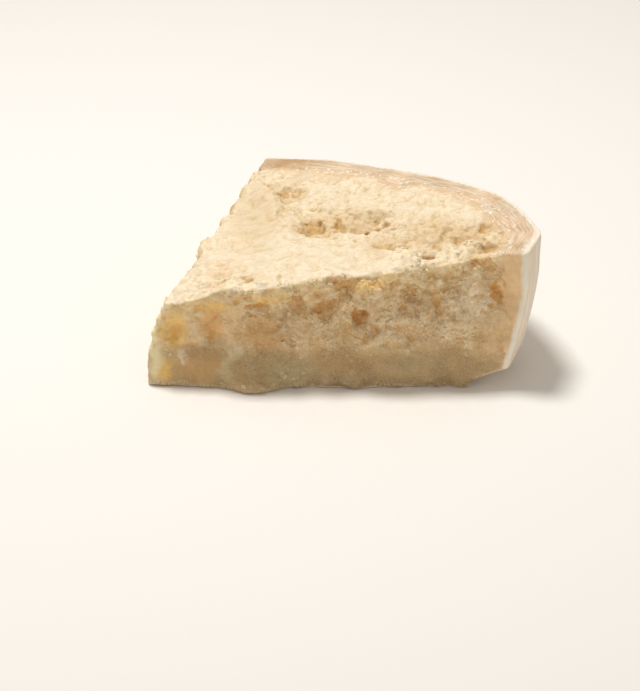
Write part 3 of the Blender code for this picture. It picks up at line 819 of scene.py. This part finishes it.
# painted one over the other, each: where, the pattern that breaks it up, how strong, colour
cheeseLayers = (
    ("whole", "patches", 0.30, "blush"),
    ("whole", "mottle", 0.35, "blush"),
    ("whole", "cells", 0.35, "white"),
    ("whole", "grain", 0.35, "white"),
    ("topTan", None, 0.85, "topTan"),
    # painted shade: the broken sides get a deeper, warmer straw than the top
    ("side", None, 1.0, "straw"),
    ("side", "patches", 0.50, "tan"),
    # painted light: lighter, yellower front under its top edge
    ("glow", None, 0.72, "glow"),
    ("side", "cells", 0.25, "pale"),
    ("flaky", "flakes", 0.60, "pale"),
    ("flaky", "duskyFlakes", 0.50, "dusky"),
    ("granular", "smallCells", 0.20, "pale"),
    # painted shade: olive over the low band, then a darker foot, towards the base of the front
    ("lowBand", None, 0.50, "olive"),
    ("lowBand", "patches", 0.45, "olive"),
    ("foot", None, 0.60, "foot"),
    ("side", "dust", 0.30, "pale"),
    ("side", "grain", 0.25, "dusky"),
    ("tan", None, 0.70, "tan"),
    ("pink", "mottle", 0.90, "pink"),
    ("grey", None, 0.70, "grey"),
    ("amber", None, 0.50, "amber"),
    ("amber", "cells", 0.60, "amber"),
    ("orange", None, 0.45, "orange"),
    ("orange", "cells", 0.55, "orange"),
    ("rim", None, 0.80, "rim"),
    # painted shade: recesses on the top go tan
    ("gapTop", None, 0.85, "topHollow"),
    # painted shade: the top's named hollows go tan, then ochre
    ("ochreTop", None, 0.85, "topHollow"),
    ("ochreTop", "mottle", 1.0, "topOchre"),
    # painted shade: recesses on the sides go ochre
    ("gap", None, 0.60, "ochre"),
    # painted shade: the front's named hollows go ochre, and brown where deepest
    ("ochre", None, 0.60, "ochre"),
    ("ochre", "cells", 0.60, "ochre"),
    ("deep", "smallCells", 0.75, "brown"),
    ("deep", "mottle", 0.40, "brown"),
    ("whitish", "cells", 0.85, "chalky"),
    ("whitish", "smallCells", 0.50, "white"),
    ("spill", "mottle", 0.35, "pale"),
    ("pale", None, 0.55, "pale"),
    ("pale", "mottle", 0.70, "pale"),
    # painted highlight: raised spots painted paler
    ("ridge", "grain", 0.55, "pale"),
    # painted shade: small pores go ochre on the sides and tan on the top
    ("pore", None, 0.50, "ochre"),
    ("poreTop", None, 0.55, "topHollow"),
    ("band", None, 1.0, "bandSide"),
    ("band", "mottle", 0.25, "tan"),
    ("bandTop", None, 1.0, "band"),
    ("bandTop", "patches", 0.45, "pink"),
    ("bandTop", "strokes", 0.42, "rindEdge"),
    ("speckled", "dots", 0.90, "white"),
    ("lens", None, 0.85, "lens"),
    ("rindEdge", None, 0.8, "rindEdge"),
    ("rind", None, 1.0, "rind"),
    ("rind", "rindLines", 0.50, "rindLine"),
)
# bumps too small for the mesh, each: where, pattern, height in millimetres
cheeseBumps = (
    ("granular", "domes", 0.22),
    ("granular", "grain", 0.15),
    ("whole", "dust", 0.06),
    ("band", "strokes", 0.20),
    ("rind", "rindLines", 0.25),
)


cheeseFinish = {
    "waveSize": 3 * mm,                 # the bends of the grain, and how far they reach
    "waveReach": 2 * mm,
    "dryRoughness": 0.60,
    "moistRoughness": 0.40,
    "lightShare": 0.40,                 # how much light sinks in, how deep, and that in red, green and blue
    "lightDepth": 1.8 * mm,
    "lightSpread": (1.0, 0.8, 0.55),
}


def tintPlaces(tree):
    whole = addNode(tree, "ShaderNodeValue")
    whole.outputs[0].default_value = 1.0
    where = {"whole": whole.outputs[0]}
    for name in chunkTints:
        where[name] = addNode(tree, "ShaderNodeAttribute", {"attribute_name": name}).outputs["Fac"]
    return where


def patternPlaces(tree):
    objectPlace = addNode(tree, "ShaderNodeTexCoord").outputs["Object"]
    waveSettings = {"Scale": 1 / cheeseFinish["waveSize"], "Detail": 1.0}
    waves = addNode(tree, "ShaderNodeTexNoise", waveSettings, {"Vector": objectPlace})
    reach = {"operation": "MULTIPLY_ADD", 1: [cheeseFinish["waveReach"]] * 3}
    bend = addNode(tree, "ShaderNodeVectorMath", reach, {0: waves.outputs["Color"], 2: objectPlace})
    along = addNode(tree, "ShaderNodeAttribute", {"attribute_name": "along"})
    return {"object": objectPlace, "bent": bend.outputs[0], "along": along.outputs["Vector"]}


def drawPatterns(tree):
    coordinates = patternPlaces(tree)
    pattern = {}
    for name, (kind, source, sizes, detail, low, high) in cheesePatterns.items():
        stretch = {"operation": "MULTIPLY", 1: [1 / (size * mm) for size in sizes]}
        scaled = addNode(tree, "ShaderNodeVectorMath", stretch, {0: coordinates[source]})
        node, output = patternKinds[kind]
        drawn = addNode(tree, node, {"Scale": 1.0, "Detail": detail}, {"Vector": scaled.outputs[0]})
        pattern[name] = addNode(tree, "ShaderNodeMapRange", {"From Min": low, "From Max": high},
                                {"Value": drawn.outputs[output]}).outputs["Result"]
    return pattern


def paintLayers(tree, where, pattern):
    ground = addNode(tree, "ShaderNodeRGB")
    ground.outputs[0].default_value = linearColour(cheeseColours["cream"])
    colour = ground.outputs[0]
    for place, brokenBy, strength, name in cheeseLayers:
        partly = {"operation": "MULTIPLY", 1: strength}
        share = addNode(tree, "ShaderNodeMath", partly, {0: where[place]}).outputs[0]
        if brokenBy:
            links = {0: share, 1: pattern[brokenBy]}
            share = addNode(tree, "ShaderNodeMath", {"operation": "MULTIPLY"}, links).outputs[0]
        colour = addNode(tree, "ShaderNodeMix", {"data_type": "RGBA", 7: linearColour(cheeseColours[name])},
                         {0: share, 6: colour}).outputs[2]
    return colour


def stackBumps(tree, where, pattern):
    normal = None
    for place, name, height in cheeseBumps:
        links = {0: pattern[name], 1: where[place]}
        share = addNode(tree, "ShaderNodeMath", {"operation": "MULTIPLY"}, links).outputs[0]
        links = {"Height": share, "Normal": normal} if normal else {"Height": share}
        normal = addNode(tree, "ShaderNodeBump", {"Distance": height * mm}, links).outputs["Normal"]
    return normal


def agedCheese():
    material = bpy.data.materials.new("aged hard cheese, split")
    material.use_nodes = True
    tree = material.node_tree
    shader = tree.nodes["Principled BSDF"]
    where = tintPlaces(tree)
    pattern = drawPatterns(tree)
    tree.links.new(paintLayers(tree, where, pattern), shader.inputs["Base Color"])
    tree.links.new(stackBumps(tree, where, pattern), shader.inputs["Normal"])
    moist = addNode(tree, "ShaderNodeMath", {"operation": "MAXIMUM"}, {0: where["ochre"], 1: where["amber"]})
    roughness = {"To Min": cheeseFinish["dryRoughness"], "To Max": cheeseFinish["moistRoughness"]}
    gloss = addNode(tree, "ShaderNodeMapRange", roughness, {"Value": moist.outputs[0]})
    tree.links.new(gloss.outputs["Result"], shader.inputs["Roughness"])
    shader.inputs["Subsurface Weight"].default_value = cheeseFinish["lightShare"]
    shader.inputs["Subsurface Scale"].default_value = cheeseFinish["lightDepth"]
    shader.inputs["Subsurface Radius"].default_value = cheeseFinish["lightSpread"]
    return material


def looseCrumb(cheese):
    # dry crumb, too small for light to sink in and come back: the same cheese, matt all over
    material = cheese.copy()
    material.name = "dry cheese crumb"
    material.node_tree.nodes["Principled BSDF"].inputs["Subsurface Weight"].default_value = 0.0
    return material


cheese = agedCheese()
dryCrumb = looseCrumb(cheese)
chunk.data.materials.clear()
chunk.data.materials.append(cheese)
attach(chunk, "root")
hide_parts("parmesan_chunk")
print("cheese materials are made")


# Crumbs that hold on to the broken faces, each one sunk into them

crumbSettings = {
    "cheese_crumbs": {"count": 900, "subdivisions": 2, "least": 0.9, "most": 2.2, "sunk": 0.55, "seed": 3},
    "cheese_grit": {"count": 1200, "subdivisions": 1, "least": 0.4, "most": 0.9, "sunk": 0.30, "seed": 4},
}
crumbPlaces = {
    "above": 3.0,                   # no crumb lies lower than this z
    "driftSize": 11.0,
    "onPale": 0.2,
    "paleAbove": 36.0,
    "uneven": 0.28,
    "squash": (0.6, 1.1),
    # crumbs keep less of the painted shade of gaps, hollows and pores
    "kept": {"gap": 0.3, "ochre": 0.4, "pore": 0.5},    # how much of these tints a crumb takes on
    "palest": 0.6,
}


def crumbForm(subdivisions):
    work = bmesh.new()
    bmesh.ops.create_icosphere(work, subdivisions=subdivisions, radius=1.0)
    corners = np.array([vertex.co[:] for vertex in work.verts])
    faces = np.array([[vertex.index for vertex in face.verts] for face in work.faces])
    work.free()
    return corners, faces


def crumbSeats(settings, places, rng):
    # crumbs lie in drifts on the granular faces, mostly in the gaps, and a few on the pale lumps
    p = inMillimetres(places)
    bare = (1 - chunkTints["band"]) * (1 - chunkTints["rind"]) * (p[:, 2] > crumbPlaces["above"])
    drifts = ramp(softNoise(p, crumbPlaces["driftSize"], 81 + settings["seed"]), -0.1, 0.6)
    bare *= (1 - 0.8 * chunkTints["lowBand"]) * (1 - chunkTints["rim"])
    likely = chunkTints["granular"] ** 3 * bare * (0.15 + drifts) * (0.4 + chunkTints["gap"])
    likely += crumbPlaces["onPale"] * chunkTints["pale"] * bare * (p[:, 2] > crumbPlaces["paleAbove"])
    return rng.choice(len(places), settings["count"], replace=False, p=likely / likely.sum())


def crumbTints(owner, crumbCount, rng):
    # each crumb has the tints of its seat, with less of the ochre painted as shade in gaps
    tints = {tint: values[owner] for tint, values in chunkTints.items()}
    for tint, kept in crumbPlaces["kept"].items():
        tints[tint] = kept * tints[tint]
    palest = rng.uniform(0.0, crumbPlaces["palest"], crumbCount)
    tints["pale"] = np.repeat(palest, len(owner) // crumbCount)
    return tints


def scatterCrumbs(name, settings, places, normals):
    rng = np.random.default_rng(settings["seed"])
    seats = crumbSeats(settings, places, rng)
    corners, faces = crumbForm(settings["subdivisions"])
    size = rng.uniform(settings["least"], settings["most"], (len(seats), 1, 1)) * mm
    uneven = 1 + crumbPlaces["uneven"] * rng.uniform(-1, 1, (len(seats), len(corners), 1))
    squash = rng.uniform(*crumbPlaces["squash"], (len(seats), 1, 3))
    turns, _ = np.linalg.qr(rng.normal(size=(len(seats), 3, 3)))
    crumbs = np.einsum("sij,scj->sci", turns, corners * uneven * squash * size)
    crumbs += (places[seats] - normals[seats] * size[:, 0] * settings["sunk"])[:, None, :]
    vertices = crumbs.reshape(-1, 3)
    vertices[:, 2] = np.maximum(vertices[:, 2], 0.0)
    allFaces = (faces[None] + len(corners) * np.arange(len(seats))[:, None, None]).reshape(-1, 3)
    mesh = bpy.data.meshes.new(name)
    mesh.from_pydata(vertices.tolist(), [], allFaces.tolist())
    owner = np.repeat(seats, len(corners))
    storeTints(mesh, crumbTints(owner, len(seats), rng), chunkAlong[owner])
    mesh.materials.append(dryCrumb)
    piece = bpy.data.objects.new(name, mesh)
    scene.collection.objects.link(piece)
    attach(piece, "root")
    print(name, "has", len(mesh.polygons), "faces")


chunkPlaces, chunkNormals = readPoints(chunk.data)
for name, settings in crumbSettings.items():
    scatterCrumbs(name, settings, chunkPlaces, chunkNormals)
